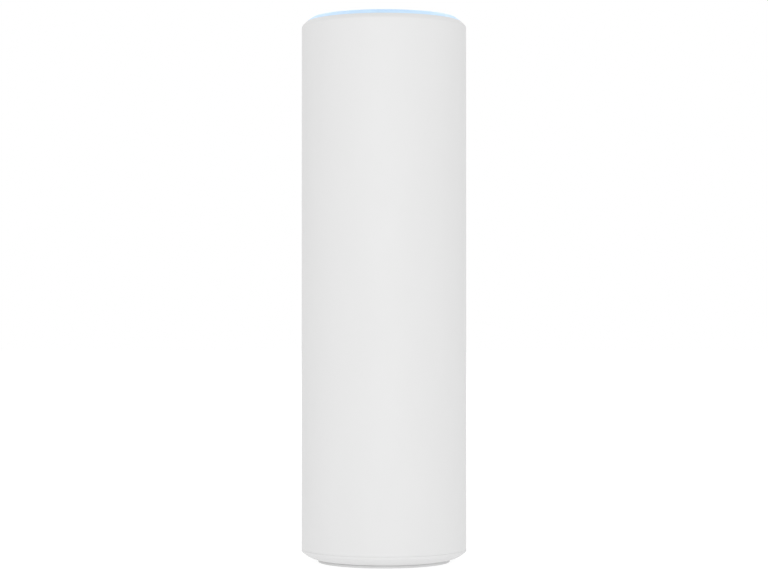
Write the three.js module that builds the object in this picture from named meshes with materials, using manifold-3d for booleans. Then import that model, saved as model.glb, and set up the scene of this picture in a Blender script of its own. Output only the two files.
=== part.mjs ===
// Mesh Wi-Fi node: an upright cylindrical access point on a twist-lock table stand.
//
// Millimetres, +Z up. The origin is the centre of the foot ring's underside, the front faces -Y,
// and the stand's cable slot faces +Y. Three assemblies move on each other: the stand rests on the
// table, the housing turns on it by the bayonet's travel, and the reset key slides up into the housing.
import * as THREE from "three";
import { mergeVertices, toCreasedNormals } from "three/addons/utils/BufferGeometryUtils.js";
import Module from "manifold-3d";

const wasm = await Module();
wasm.setup();

// ---- Driving dimensions ------------------------------------------------------------------------

const OUTER_R = 38; // radius of the tube
const WALL = 2.2; // wall of the tube
const INNER_R = OUTER_R - WALL;
const GAP = 0.3; // air left between two pieces that meet
const EDGE = 0.15; // broken edge on each side of the seam
const BITE = 0.1; // depth by which a feature is sunk into the body it grows from
const ROUND = 48; // sides of a large round piece
const SMALL_ROUND = 12; // sides of a small one

// Stand
const FOOT_R = [25.4, 30.35];
const FOOT_TOP_Z = 1.25;
const KEY_R = [27, 29]; // tongue that keys the foot into the stand
const KEY_TOP_Z = 2.2;
const PLATE_Z = [1.5, 4];
const UNDERSIDE_START = [30.6, 1.3]; // where the curved underside leaves the foot
const UNDERSIDE_TURN = 37; // how far it bends up on its way out, in degrees
const RIM_EDGE_Z = 4.9; // where it reaches the outer radius
const RIM_TOP_Z = 5.7;
const RIM_INNER_R = 35;
const STAND_OPENING_R = 19;
const COLLAR_R = [29.6, 31.2];
const COLLAR_TOP_Z = 11;
const SLOT_HALF_WIDTH = 4; // cable slot
const SLOT_START_Y = 10;

// Bayonet between the stand and the housing
const LUGS = [30, 150, 270]; // middles of the stand's lugs, in degrees from +X
const LUG_HALF_SPAN = 8;
const LUG_R = 33.2;
const LUG_Z = [8.8, COLLAR_TOP_Z];
const TWIST = 25; // turn from locked to free
const LEDGE_R = 31.6;
const CHANNEL_R = 33.6;
const CHANNEL_Z = [8.5, 11.4];

// Casing
const SHELL_BOTTOM_Z = RIM_TOP_Z + GAP;
const SHOULDER_Z = 246.2; // where the tube's side starts to round over
const FILLET_END = [37.53, 247.33];
const FILLET_TURN = 45;
const RING_TOP = [33.4, 250.75]; // the light ring's inner top edge, the highest point
const CROWN_TURN = 10.8; // how far the crown bends between the fillet and that edge
const LIP_R = 35.95; // where the shell's shoulder ends and the light ring starts
const BORE_R = 35.6; // bore above the ledge
const LEDGE_INNER_R = 33.8; // ledge in the shell that carries the ring tray
const LEDGE_Z = [236.5, 239.6];
const TRAY_FLOOR_Z = [239.8, 241];
const LED_BOARD_Z = [241.2, 242.2];
const LED_BOARD_R = [31.1, 34.2];
const LED_COUNT = 8;
const LED_SIZE = [2.8, 3.5, 0.9];
const CAP_R = 32.7;

// Bottom cover
const RECESS_R = 26; // hollow that takes the plug
const CEILING_Z = [46, 48];
const SKIRT_R = INNER_R - GAP;
const SKIRT_TOP_Z = 20.4;
const SNAP_BEAD_R = 36.2; // bead round the cover that snaps into a groove in the tube
const SNAP_GROOVE_R = 36.6;
const SNAP_BEAD_Z = [19.3, 19.9];
const SEAL_Z = 16.7;
const SEAL_R = 34.85;
const SEAL_THICKNESS = 1.4;
const COVER_SCREW_R = 21;
const COVER_SCREW_ANGLES = [90, 210, 330];

// Inner frame and main board
const FRAME_FLOOR_Z = [48.3, 50.5];
const FRAME_TOP_Z = [206, 208.4];
const FRAME_R = 34.6;
const RAIL_X = [28.8, 33];
const RAIL_Y = [1, 9.7];
const BOARD_X = 28.4;
const BOARD_Y = [4, 5.6];
const BOARD_Z = [53, 203];
const FRONT_Y = BOARD_Y[0] - GAP; // where a part on the board's front ends
const REAR_Y = BOARD_Y[1] + GAP; // where a part on its back begins
const BOARD_SCREWS = [[-25.5, 62], [25.5, 62], [-25.5, 198], [25.5, 198]];
const SINK_SCREWS = [[-30.6, 85], [30.6, 85], [-30.6, 175], [30.6, 175]];

// Heat sink
const SINK_Y = [10, 12];
const SINK_X = 32.6;
const SINK_Z = [72, 188];
const SINK_REACH_R = 33.5;
const FIN_COUNT = 9;
const FIN_PITCH = 6;
const FIN_HALF_THICKNESS = 0.8;

// Ethernet jack, opening downwards
const JACK_X = 8;
const JACK_Y = [-9.8, FRONT_Y];
const JACK_Z = [46.3, 67.6];
const SOCKET_X = 5.9;
const SOCKET_Y = [-7.6, -0.6];
const SOCKET_TOP_Z = 60;
const CONTACT_PITCH = 1.02;

// Reset key and its switch
const RESET_XY = [15, 1];
const KEY_STEM_R = 1.5;

// Antennas
const CARRIER_Z = [208.7, 210.7];
const CARRIER_R = 33;
const ANTENNA_R = 29;
const ANTENNA_ANGLES = [45, 135, 225, 315];
const COAX_R = 0.55;
const COAX_X = 16; // where the pigtails plug into the board
const COAX_PLUG_Z = 198;
const COAX_HOLE_X = 14;
const COAX_HOLE_Y = 9.5;
const PEG_R = 30;

// ---- Finishes ----------------------------------------------------------------------------------

const finish = (color, roughness, metalness = 0, more = {}) =>
  new THREE.MeshStandardMaterial({ color, roughness, metalness, ...more });

const WHITE_SHELL = () => finish(0xebebeb, 0.55);
const WHITE_INNER = () => finish(0xf4f4f2, 0.6);
const LIGHT_GUIDE = () => finish(0xc4e1fd, 0.35, 0, { emissive: 0x8fc7ff, emissiveIntensity: 0.6 });
const GREY_RUBBER = () => finish(0xb8b8b8, 0.85);
const DARK_RUBBER = () => finish(0x2a2b2d, 0.9);
const DARK_PLASTIC = () => finish(0x1c1d20, 0.5);
const FRAME_PLASTIC = () => finish(0x3b3e42, 0.65);
const CIRCUIT_BOARD = () => finish(0x14503a, 0.45);
const ALUMINIUM = () => finish(0xb9bcc0, 0.4, 1);
const SHIELD_STEEL = () => finish(0xc9cbce, 0.3, 1);
const SCREW_STEEL = () => finish(0x9a9da1, 0.3, 1);
const GOLD_CONTACT = () => finish(0xc8a565, 0.35, 1);
const FERRITE = () => finish(0x35373a, 0.6, 0.2);
const COAX_JACKET = () => finish(0x4a4c50, 0.55);
const FLEX_FILM = () => finish(0xb5793a, 0.5);
const LED_PACKAGE = () => finish(0xf6f3d8, 0.4);
const PAD_SILICONE = () => finish(0x8fa3b8, 0.9);

// ---- Solids ------------------------------------------------------------------------------------

const radians = THREE.MathUtils.degToRad;

// A closed three.js geometry as a manifold-3d solid.
function solidOf(geometry) {
  const bare = geometry.clone();
  bare.deleteAttribute("normal");
  bare.deleteAttribute("uv");
  const closed = mergeVertices(bare, 1e-4);
  return new wasm.Manifold(
    new wasm.Mesh({
      numProp: 3,
      vertProperties: closed.attributes.position.array,
      triVerts: new Uint32Array(closed.index.array),
    }),
  );
}

// A three.js geometry from a manifold-3d solid.
function geometryOf(solid) {
  const { vertProperties, triVerts } = solid.getMesh();
  return new THREE.BufferGeometry()
    .setAttribute("position", new THREE.BufferAttribute(vertProperties, 3))
    .setIndex(new THREE.BufferAttribute(triVerts, 1));
}

// A named mesh from a solid or a geometry.
function piece(name, shape, material) {
  const geometry = shape.isBufferGeometry ? shape : geometryOf(shape);
  const made = new THREE.Mesh(toCreasedNormals(geometry, radians(25)), material());
  made.name = name;
  return made;
}

// Numbered copies of a piece, one for each entry of a list.
const numbered = (name, list, make, material) =>
  list.map((entry, i) => piece(`${name}_${i + 1}`, make(entry), material));

// Revolves a profile of [radius, height] points about Z. It runs up the outside and down the inside.
function turned(profile, sides = ROUND) {
  const points = profile.map(([r, z]) => new THREE.Vector2(r, z));
  return new THREE.LatheGeometry(points, sides).rotateX(Math.PI / 2);
}

// The same for a profile that doesn't reach the axis.
const ring = (profile, sides = ROUND) => turned([...profile, profile[0]], sides);

function block([x0, x1], [y0, y1], [z0, z1]) {
  const size = [x1 - x0, y1 - y0, z1 - z0];
  return new THREE.BoxGeometry(...size).translate((x0 + x1) / 2, (y0 + y1) / 2, (z0 + z1) / 2);
}

// A round bar along Z.
function bar(radius, [z0, z1], [x, y] = [0, 0], sides = SMALL_ROUND) {
  return new THREE.CylinderGeometry(radius, radius, z1 - z0, sides)
    .rotateX(Math.PI / 2)
    .translate(x, y, (z0 + z1) / 2);
}

// A round bar along Y.
function crossBar(radius, [y0, y1], [x, z]) {
  return new THREE.CylinderGeometry(radius, radius, y1 - y0, SMALL_ROUND).translate(x, (y0 + y1) / 2, z);
}

// Part of a ring, between two angles in degrees.
function sector([r0, r1], [from, to], [z0, z1]) {
  const shape = new THREE.Shape();
  shape.absarc(0, 0, r1, radians(from), radians(to), false);
  shape.absarc(0, 0, r0, radians(to), radians(from), true);
  const curveSegments = Math.max(2, Math.ceil((to - from) / 5));
  return new THREE.ExtrudeGeometry(shape, { depth: z1 - z0, bevelEnabled: false, curveSegments })
    .translate(0, 0, z0);
}

// An outline of [x, y] points, raised from z0 to z1.
function plate(outline, [z0, z1]) {
  const shape = new THREE.Shape(outline.map(([x, y]) => new THREE.Vector2(x, y)));
  return new THREE.ExtrudeGeometry(shape, { depth: z1 - z0, bevelEnabled: false }).translate(0, 0, z0);
}

// An outline of [y, z] points, thickened from x0 to x1.
function upright(outline, span) {
  const [x, y, z] = [new THREE.Vector3(1, 0, 0), new THREE.Vector3(0, 1, 0), new THREE.Vector3(0, 0, 1)];
  return plate(outline, span).applyMatrix4(new THREE.Matrix4().makeBasis(y, z, x));
}

const joined = (...shapes) => shapes.map(solidOf).reduce((a, b) => a.add(b));
const cut = (solid, ...tools) => tools.map(solidOf).reduce((a, b) => a.subtract(b), solid);
const both = (make) => [-1, 1].map(make);
const mirrored = ([x0, x1], side) => (side > 0 ? [x0, x1] : [-x1, -x0]);
const wider = ([a, b], by) => [a - by, b + by];
const polar = (r, degrees) => [r * Math.cos(radians(degrees)), r * Math.sin(radians(degrees))];

// Points on the arc from p to q that turns by the given angle to the left on its way.
function arc([px, py], [qx, qy], turn, steps) {
  const half = radians(turn) / 2;
  const radius = Math.hypot(qx - px, qy - py) / 2 / Math.sin(half);
  const start = Math.atan2(qy - py, qx - px) - half;
  const centre = [px - radius * Math.sin(start), py + radius * Math.cos(start)];
  return Array.from({ length: steps + 1 }, (_, i) => {
    const a = start + (radians(turn) * i) / steps;
    return [centre[0] + radius * Math.sin(a), centre[1] - radius * Math.cos(a)];
  });
}

// The crown's height at a radius. It is one arc from the fillet's end to the light ring's top edge.
function crownZ(r) {
  const fine = arc(FILLET_END, RING_TOP, CROWN_TURN, 80);
  const i = THREE.MathUtils.clamp(fine.findIndex((p) => p[0] <= r + 1e-6), 1, fine.length - 1);
  const [a, b] = [fine[i - 1], fine[i]];
  return THREE.MathUtils.mapLinear(r, a[0], b[0], a[1], b[1]);
}

// Points on the crown from one radius to another.
const crown = (fromR, toR, steps) =>
  Array.from({ length: steps + 1 }, (_, i) => {
    const r = THREE.MathUtils.lerp(fromR, toR, i / steps);
    return [r, crownZ(r)];
  });

// ---- Stand -------------------------------------------------------------------------------------

const cableSlot = () =>
  block([-SLOT_HALF_WIDTH, SLOT_HALF_WIDTH], [SLOT_START_Y, OUTER_R + 5], [-1, COLLAR_TOP_Z + 1]);

function standBase() {
  const [under, top] = PLATE_Z;
  const grooveTop = KEY_TOP_Z + 0.2;
  const [grooveIn, grooveOut] = wider(KEY_R, 0.2);
  const webTop = top + 0.4;
  const chamfer = 0.5;
  const body = ring([
    [STAND_OPENING_R + chamfer, under],
    [grooveIn, under],
    [grooveIn, grooveTop],
    [grooveOut, grooveTop],
    [grooveOut, under],
    [UNDERSIDE_START[0], under],
    ...arc(UNDERSIDE_START, [OUTER_R, RIM_EDGE_Z], UNDERSIDE_TURN, 5),
    [OUTER_R, RIM_TOP_Z - EDGE],
    [OUTER_R - EDGE, RIM_TOP_Z],
    [RIM_INNER_R, RIM_TOP_Z],
    [RIM_INNER_R, webTop],
    [COLLAR_R[1], webTop],
    [COLLAR_R[1], COLLAR_TOP_Z],
    [COLLAR_R[0], COLLAR_TOP_Z],
    [COLLAR_R[0], top],
    [STAND_OPENING_R, top],
    [STAND_OPENING_R, under + chamfer],
  ]);
  const lugs = LUGS.map((middle) =>
    sector([COLLAR_R[1] - 0.5, LUG_R], [middle - LUG_HALF_SPAN, middle + LUG_HALF_SPAN], LUG_Z),
  );
  return piece("stand_base", cut(joined(body, ...lugs), cableSlot()), WHITE_SHELL);
}

function footRing() {
  const chamfer = 0.2;
  const body = ring([
    [FOOT_R[0] + chamfer, 0],
    [FOOT_R[1] - chamfer, 0],
    [FOOT_R[1], chamfer],
    [FOOT_R[1], FOOT_TOP_Z],
    [KEY_R[1], FOOT_TOP_Z],
    [KEY_R[1], KEY_TOP_Z],
    [KEY_R[0], KEY_TOP_Z],
    [KEY_R[0], FOOT_TOP_Z],
    [FOOT_R[0], FOOT_TOP_Z],
    [FOOT_R[0], chamfer],
  ]);
  return piece("foot_ring", cut(solidOf(body), cableSlot()), GREY_RUBBER);
}

// ---- Casing ------------------------------------------------------------------------------------

function outerShell() {
  const lip = crown(FILLET_END[0], LIP_R, 3);
  const [lipR, lipZ] = lip[lip.length - 1];
  return piece(
    "outer_shell",
    ring([
      [INNER_R, SHELL_BOTTOM_Z],
      [OUTER_R - EDGE, SHELL_BOTTOM_Z],
      [OUTER_R, SHELL_BOTTOM_Z + EDGE],
      ...arc([OUTER_R, SHOULDER_Z], FILLET_END, FILLET_TURN, 3).slice(0, -1),
      ...lip,
      [BORE_R, lipZ - (lipR - BORE_R)],
      [BORE_R, LEDGE_Z[1]],
      [LEDGE_INNER_R, LEDGE_Z[1]],
      [LEDGE_INNER_R, LEDGE_Z[0] + 1.5],
      [INNER_R, LEDGE_Z[0]],
      [INNER_R, SNAP_BEAD_Z[1] + 1.1],
      [SNAP_GROOVE_R, SNAP_BEAD_Z[1] + 0.5],
      [SNAP_GROOVE_R, SNAP_BEAD_Z[0] - 0.4],
      [INNER_R, SNAP_BEAD_Z[0] - 0.7],
    ]),
    WHITE_SHELL,
  );
}

function lightRing() {
  const band = crown(LIP_R - 0.2, RING_TOP[0], 3);
  const [edgeR, edgeZ] = band[0];
  const [topR, topZ] = RING_TOP;
  const stem = [31.8, 34.2]; // light guide's stem, which stands over the LEDs
  const stemBottomZ = 244.2;
  return piece(
    "light_ring",
    ring([
      [stem[0], stemBottomZ],
      [stem[1], stemBottomZ],
      [stem[1], 247.5],
      [edgeR - 0.35, edgeZ - 0.35],
      ...band,
      [topR - 0.3, topZ - 0.05],
      [topR - 0.45, topZ - 0.3],
      [topR - 0.45, 248.3],
      [stem[0], 247.4],
    ]),
    LIGHT_GUIDE,
  );
}

function topCap() {
  const skirt = [30.2, 31.4]; // snaps round the ring tray's inner wall
  const skirtBottomZ = 243.6;
  return piece(
    "top_cap",
    turned([
      [0, 248],
      [skirt[0], 248],
      [skirt[0], skirtBottomZ],
      [skirt[1], skirtBottomZ],
      [skirt[1], 248.2],
      [CAP_R, 249],
      [CAP_R, 249.9],
      [CAP_R - 0.4, 250.3],
      [CAP_R - 1.1, 250.3],
      [22, 249.8],
      [0, 249.5],
    ]),
    WHITE_SHELL,
  );
}

function bottomCover() {
  const [ceilingUnder, ceilingTop] = CEILING_Z;
  const [channelUnder, channelTop] = CHANNEL_Z;
  const bottom = SHELL_BOTTOM_Z + GAP;
  const wall = 2;
  const webTop = channelTop + wall;
  const [grooveUnder, grooveTop] = wider([SEAL_Z, SEAL_Z], 1.1);
  const grooveR = SKIRT_R - 1.7;
  const skirtInnerR = SKIRT_R - 3.5;
  const body = turned([
    [0, ceilingUnder],
    [RECESS_R, ceilingUnder],
    [RECESS_R, channelTop],
    [CHANNEL_R, channelTop],
    [CHANNEL_R, channelUnder],
    [LEDGE_R, channelUnder],
    [LEDGE_R, bottom],
    [SKIRT_R, bottom],
    [SKIRT_R, grooveUnder],
    [grooveR, grooveUnder],
    [grooveR, grooveTop],
    [SKIRT_R, grooveTop],
    [SKIRT_R, SNAP_BEAD_Z[0] - GAP],
    [SNAP_BEAD_R, SNAP_BEAD_Z[0]],
    [SNAP_BEAD_R, SNAP_BEAD_Z[1]],
    [SKIRT_R, SKIRT_TOP_Z],
    [skirtInnerR, SKIRT_TOP_Z],
    [skirtInnerR, webTop],
    [RECESS_R + wall, webTop],
    [RECESS_R + wall, ceilingTop],
    [0, ceilingTop],
  ]);
  const stopZ = wider([channelUnder, channelTop], BITE);
  const stopR = [LEDGE_R, CHANNEL_R + BITE];
  const stops = lugStops().map((span) => sector(stopR, span, stopZ));
  const entryZ = [bottom - 1, channelUnder + BITE / 2];
  const entries = lugEntries().map((span) => sector([LEDGE_R - 1, CHANNEL_R], span, entryZ));
  const throughCeiling = wider(CEILING_Z, 1);
  const jackHole = block(wider([-JACK_X, JACK_X], GAP), wider(JACK_Y, GAP), throughCeiling);
  const holes = [RESET_XY, ...coverScrewSpots()].map((at) => bar(KEY_STEM_R + GAP, throughCeiling, at));
  return piece("bottom_cover", cut(joined(body, ...stops), ...entries, jackHole, ...holes), WHITE_SHELL);
}

// Where the cover's ledge is open for the lugs, and the ribs that stop them at both ends of the turn.
const lugEntries = () => LUGS.map((middle) => wider([middle - TWIST, middle - TWIST], LUG_HALF_SPAN + 1));

function lugStops() {
  const rib = 3;
  return LUGS.flatMap((middle) => {
    const locked = middle + LUG_HALF_SPAN + 0.8;
    const free = middle - TWIST - LUG_HALF_SPAN - 1;
    return [[locked, locked + rib], [free - rib, free]];
  });
}

function coverSeal() {
  const section = Array.from({ length: 6 }, (_, i) => {
    const [dr, dz] = polar(SEAL_THICKNESS / 2, 60 * i);
    return [SEAL_R + dr, SEAL_Z + dz];
  });
  return piece("cover_seal", ring(section), DARK_RUBBER);
}

const coverScrewSpots = () => COVER_SCREW_ANGLES.map((a) => polar(COVER_SCREW_R, a));

function coverScrews() {
  const head = [CEILING_Z[0] - GAP - 1.3, CEILING_Z[0] - GAP];
  const shank = [head[1] - BITE, 56];
  const make = (at) => cut(joined(bar(2.8, head, at), bar(1.2, shank, at)), crossSlot(at, head[0]));
  return numbered("cover_screw", coverScrewSpots(), make, SCREW_STEEL);
}

// The slot in a screw head that faces down.
const crossSlot = ([x, y], z) => block(wider([x, x], 1.8), wider([y, y], 0.35), [z - 1, z + 0.6]);

// ---- Light ring's electronics ------------------------------------------------------------------

function ringTray() {
  const [under, top] = TRAY_FLOOR_Z;
  const outerWall = [34.5, 35.3];
  const innerWall = [29.3, 29.9];
  const body = ring([
    [innerWall[0], under],
    [outerWall[1], under],
    [outerWall[1], 246.5],
    [outerWall[0], 246.5],
    [outerWall[0], top],
    [innerWall[1], top],
    [innerWall[1], 245.5],
    [innerWall[0], 245.5],
  ]);
  const cableNotch = block([-5, 5], [-33, -28.5], [under - 1, 246]);
  return piece("ring_tray", cut(solidOf(body), cableNotch), WHITE_INNER);
}

function ledBoard() {
  const [inner, outer] = LED_BOARD_R;
  const [under, top] = LED_BOARD_Z;
  const section = [[inner, under], [outer, under], [outer, top], [inner, top]];
  return piece("led_board", ring(section), CIRCUIT_BOARD);
}

function leds() {
  const middleR = (LED_BOARD_R[0] + LED_BOARD_R[1]) / 2;
  const z = LED_BOARD_Z[1] + 0.2 + LED_SIZE[2] / 2;
  const angles = Array.from({ length: LED_COUNT }, (_, i) => (360 / LED_COUNT) * (i + 0.5));
  const make = (angle) =>
    new THREE.BoxGeometry(...LED_SIZE).translate(middleR, 0, z).rotateZ(radians(angle));
  return numbered("led", angles, make, LED_PACKAGE);
}

function ledFlexCable() {
  const halfThickness = 0.15;
  const route = [
    [-32.4, 240.6],
    [-28, 240],
    [-22, 236],
    [-12, 226],
    [-5.5, 217],
    [-3, 209],
    [0, 202],
    [2.4, 195.9],
  ];
  const points = route.map(([y, z]) => new THREE.Vector3(y, z, 0));
  const curve = new THREE.CatmullRomCurve3(points, false, "centripetal");
  const steps = 28;
  const side = (sign) =>
    Array.from({ length: steps + 1 }, (_, i) => {
      const at = curve.getPointAt(i / steps);
      const along = curve.getTangentAt(i / steps);
      return [at.x - sign * halfThickness * along.y, at.y + sign * halfThickness * along.x];
    });
  return piece("led_flex_cable", upright([...side(-1), ...side(1).reverse()], [-4, 4]), FLEX_FILM);
}

function flexConnector() {
  const body = block([-5.5, 5.5], [0.8, FRONT_Y], [191, 195.5]);
  return piece("flex_connector", cut(solidOf(body), block([-4.4, 4.4], [2, 2.8], [193, 196])), DARK_PLASTIC);
}

// ---- Frame and boards --------------------------------------------------------------------------

// The slot for the flex cable and the holes for the pigtails, through the frame's top and the carrier.
function topPassages(z) {
  const pigtails = both((sx) => both((sy) => bar(2.5, z, [sx * COAX_HOLE_X, sy * COAX_HOLE_Y]))).flat();
  return [block([-5.5, 5.5], [-8, 2.5], z), ...pigtails];
}

function chassis() {
  const [floorUnder, floorTop] = FRAME_FLOOR_Z;
  const [topUnder, topTop] = FRAME_TOP_Z;
  const railZ = [floorTop - BITE, topUnder + BITE];
  const rails = both((side) => block(mirrored(RAIL_X, side), RAIL_Y, railZ));
  const boardBosses = BOARD_SCREWS.flatMap(([x, z]) => {
    const y = [REAR_Y, RAIL_Y[1]];
    const web = mirrored([Math.abs(x), RAIL_X[0] + BITE], Math.sign(x));
    return [crossBar(2.6, y, [x, z]), block(web, y, wider([z, z], 2))];
  });
  const coverBosses = coverScrewSpots().map((at) => bar(3, [floorTop - BITE, 57], at));
  const body = joined(
    bar(FRAME_R, FRAME_FLOOR_Z, [0, 0], ROUND),
    bar(FRAME_R, FRAME_TOP_Z, [0, 0], ROUND),
    ...rails,
    ...boardBosses,
    ...coverBosses,
  );
  const floor = [floorUnder - 1, floorTop + 1];
  const jackHole = block(wider([-JACK_X, JACK_X], GAP), wider(JACK_Y, GAP), floor);
  const screwHoles = [
    ...BOARD_SCREWS.map((at) => crossBar(1.5, [REAR_Y - 1, RAIL_Y[1] + 1], at)),
    ...SINK_SCREWS.map((at) => crossBar(1.2, [4, RAIL_Y[1] + 1], at)),
    ...coverScrewSpots().map((at) => bar(1.5, [floorUnder - 1, 58], at)),
  ];
  const through = wider([topUnder, topTop], 1);
  const pegHoles = pegSpots().map((at) => bar(1.8, through, at));
  const resetHole = bar(KEY_STEM_R + GAP, floor, RESET_XY);
  const holes = [jackHole, resetHole, ...screwHoles, ...pegHoles, ...topPassages(through)];
  return piece("chassis", cut(body, ...holes), FRAME_PLASTIC);
}

function mainBoard() {
  const body = block([-BOARD_X, BOARD_X], BOARD_Y, BOARD_Z);
  const holes = BOARD_SCREWS.map((at) => crossBar(1.5, wider(BOARD_Y, 1), at));
  return piece("main_board", cut(solidOf(body), ...holes), CIRCUIT_BOARD);
}

function boardScrews() {
  const head = [FRONT_Y - 1.3, FRONT_Y];
  const make = (at) => joined(crossBar(2.6, head, at), crossBar(1.2, [head[1] - BITE, 9.2], at));
  return numbered("board_screw", BOARD_SCREWS, make, SCREW_STEEL);
}

// A shield can: a shallow lid whose middle is pressed up by a small step, on one side of the board.
function shieldCan(name, x, [y0, y1], z, lidSide) {
  const step = 0.4;
  const inset = 2;
  const rim = lidSide < 0 ? [y0 + step, y1] : [y0, y1 - step];
  const shape = joined(block(x, rim, z), block(wider(x, -inset), [y0, y1], wider(z, -inset)));
  return piece(name, shape, SHIELD_STEEL);
}

function shieldCans() {
  const front = [FRONT_Y - 3, FRONT_Y];
  const rear = [REAR_Y, REAR_Y + 2.5];
  return [
    shieldCan("radio_shield_front", [-20, 20], front, [104, 140], -1),
    shieldCan("memory_shield_front", [-20, 6], front, [146, 182], -1),
    shieldCan("processor_shield_rear", [-18, 18], rear, [82, 118], 1),
    shieldCan("radio_shield_rear", [-18, 18], rear, [134, 170], 1),
  ];
}

function thermalPads() {
  const y = [REAR_Y + 2.5 + 0.2, SINK_Y[0] - 0.2];
  const spans = [[86, 114], [138, 166]];
  return numbered("thermal_pad", spans, (z) => block([-14, 14], y, z), PAD_SILICONE);
}

function powerTransformer() {
  const core = block([-10, 10], [-9, FRONT_Y], [75, 93]);
  const bobbin = block([-12.5, 12.5], [-6, -0.5], [78, 90]);
  return piece("power_transformer", joined(core, bobbin), FERRITE);
}

function capacitors() {
  const radius = 4.5;
  const crimp = 0.5;
  const profile = [
    [0, 0],
    [radius, 0],
    [radius, 2],
    [radius - crimp, 2.6],
    [radius, 3.2],
    [radius, 14],
    [radius - crimp, 14.5],
    [0, 14.5],
  ];
  const make = (x) => turned(profile, SMALL_ROUND).rotateX(Math.PI / 2).translate(x, FRONT_Y, 84);
  return numbered("capacitor", [-19, 19], make, DARK_PLASTIC);
}

function heatSink() {
  const fins = Array.from({ length: FIN_COUNT }, (_, i) => FIN_PITCH * ((FIN_COUNT - 1) / 2 - i));
  const [face, root] = SINK_Y;
  const comb = fins.flatMap((x) => {
    const tip = Math.sqrt(SINK_REACH_R ** 2 - (Math.abs(x) + FIN_HALF_THICKNESS) ** 2);
    const [left, right] = wider([x, x], FIN_HALF_THICKNESS);
    return [[right, root], [right, tip], [left, tip], [left, root]];
  });
  const outline = [[-SINK_X, face], [SINK_X, face], [SINK_X, root], ...comb, [-SINK_X, root]];
  const holes = SINK_SCREWS.map((at) => crossBar(1.2, wider(SINK_Y, 1), at));
  return piece("heat_sink", cut(solidOf(plate(outline, SINK_Z)), ...holes), ALUMINIUM);
}

function heatSinkScrews() {
  const head = [SINK_Y[1] + GAP, SINK_Y[1] + GAP + 1.1];
  const make = (at) => joined(crossBar(1.9, head, at), crossBar(0.9, [5, head[0] + BITE], at));
  return numbered("heat_sink_screw", SINK_SCREWS, make, SCREW_STEEL);
}

// ---- Ethernet jack -----------------------------------------------------------------------------

function ethernetJack() {
  const mouth = JACK_Z[0] - 1;
  const socket = block([-SOCKET_X, SOCKET_X], SOCKET_Y, [mouth, SOCKET_TOP_Z]);
  const latchNotch = block([-3.1, 3.1], [SOCKET_Y[0] - 1.5, SOCKET_Y[0] + BITE], [mouth, 56]);
  const body = block([-JACK_X, JACK_X], JACK_Y, JACK_Z);
  return piece("ethernet_jack", cut(solidOf(body), socket, latchNotch), SHIELD_STEEL);
}

function jackInsert() {
  const [x, y] = [wider([-SOCKET_X, SOCKET_X], -GAP), wider(SOCKET_Y, -GAP)];
  return piece("jack_insert", block(x, y, [57.5, 59.7]), DARK_PLASTIC);
}

function jackContacts() {
  const y = [-1.5, -0.9];
  const carrier = block([-4.6, 4.6], y, [56.2, 57.2]);
  const wires = Array.from({ length: 8 }, (_, i) => {
    const x = CONTACT_PITCH * (i - 3.5);
    return block(wider([x, x], 0.23), [y[0], y[1]], [49.5, 56.2 + BITE]);
  });
  return piece("jack_contacts", joined(carrier, ...wires), GOLD_CONTACT);
}

// ---- Reset key ---------------------------------------------------------------------------------

function resetKey() {
  const flangeR = 2.5;
  const under = 45.3;
  const flangeZ = [FRAME_FLOOR_Z[1] + GAP, 51.8];
  const key = turned(
    [
      [0, under],
      [KEY_STEM_R - 0.3, under],
      [KEY_STEM_R, under + 0.3],
      [KEY_STEM_R, flangeZ[0]],
      [flangeR, flangeZ[0]],
      [flangeR, flangeZ[1]],
      [0, flangeZ[1]],
    ],
    SMALL_ROUND,
  );
  return piece("reset_key", key.translate(...RESET_XY, 0), GREY_RUBBER);
}

const resetPlunger = () => piece("reset_plunger", bar(1, [52.1, 55.3], RESET_XY), DARK_PLASTIC);

function resetSwitch() {
  const [x, y] = RESET_XY;
  const body = block(wider([x, x], 3), [y - 2.8, FRONT_Y], [54.3, 59.5]);
  return piece("reset_switch", cut(solidOf(body), bar(1.3, [53, 57], [x, y])), DARK_PLASTIC);
}

// ---- Antennas ----------------------------------------------------------------------------------

const pegSpots = () => [0, 90, 180, 270].map((a) => polar(PEG_R, a));

function antennaCarrier() {
  const [under, top] = CARRIER_Z;
  const posts = ANTENNA_ANGLES.flatMap((a) =>
    both((side) => {
      const post = block(wider([ANTENNA_R, ANTENNA_R], 1.7), mirrored([5.2, 8.4], side), [top - BITE, 218]);
      return post.rotateZ(radians(a));
    }),
  );
  const pegs = pegSpots().map((at) => bar(1.5, [under - 2, under + BITE], at));
  const slots = ANTENNA_ANGLES.map((a) =>
    block(wider([ANTENNA_R, ANTENNA_R], 0.7), [-9, 9], [top, 219]).rotateZ(radians(a)),
  );
  const body = joined(bar(CARRIER_R, CARRIER_Z, [0, 0], ROUND), ...posts, ...pegs);
  return piece("antenna_carrier", cut(body, ...slots, ...topPassages(wider(CARRIER_Z, 1))), WHITE_INNER);
}

function antennas() {
  const under = CARRIER_Z[1] + GAP;
  const outline = [
    [-8, under],
    [8, under],
    [8, under + 8],
    [4, under + 8],
    [4, under + 13],
    [8, under + 13],
    [8, under + 24],
    [-8, under + 24],
    [-8, under + 20],
    [4, under + 20],
    [4, under + 17],
    [-8, under + 17],
  ];
  const make = (a) => upright(outline, wider([ANTENNA_R, ANTENNA_R], 0.4)).rotateZ(radians(a));
  return numbered("antenna", ANTENNA_ANGLES, make, GOLD_CONTACT);
}

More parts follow.
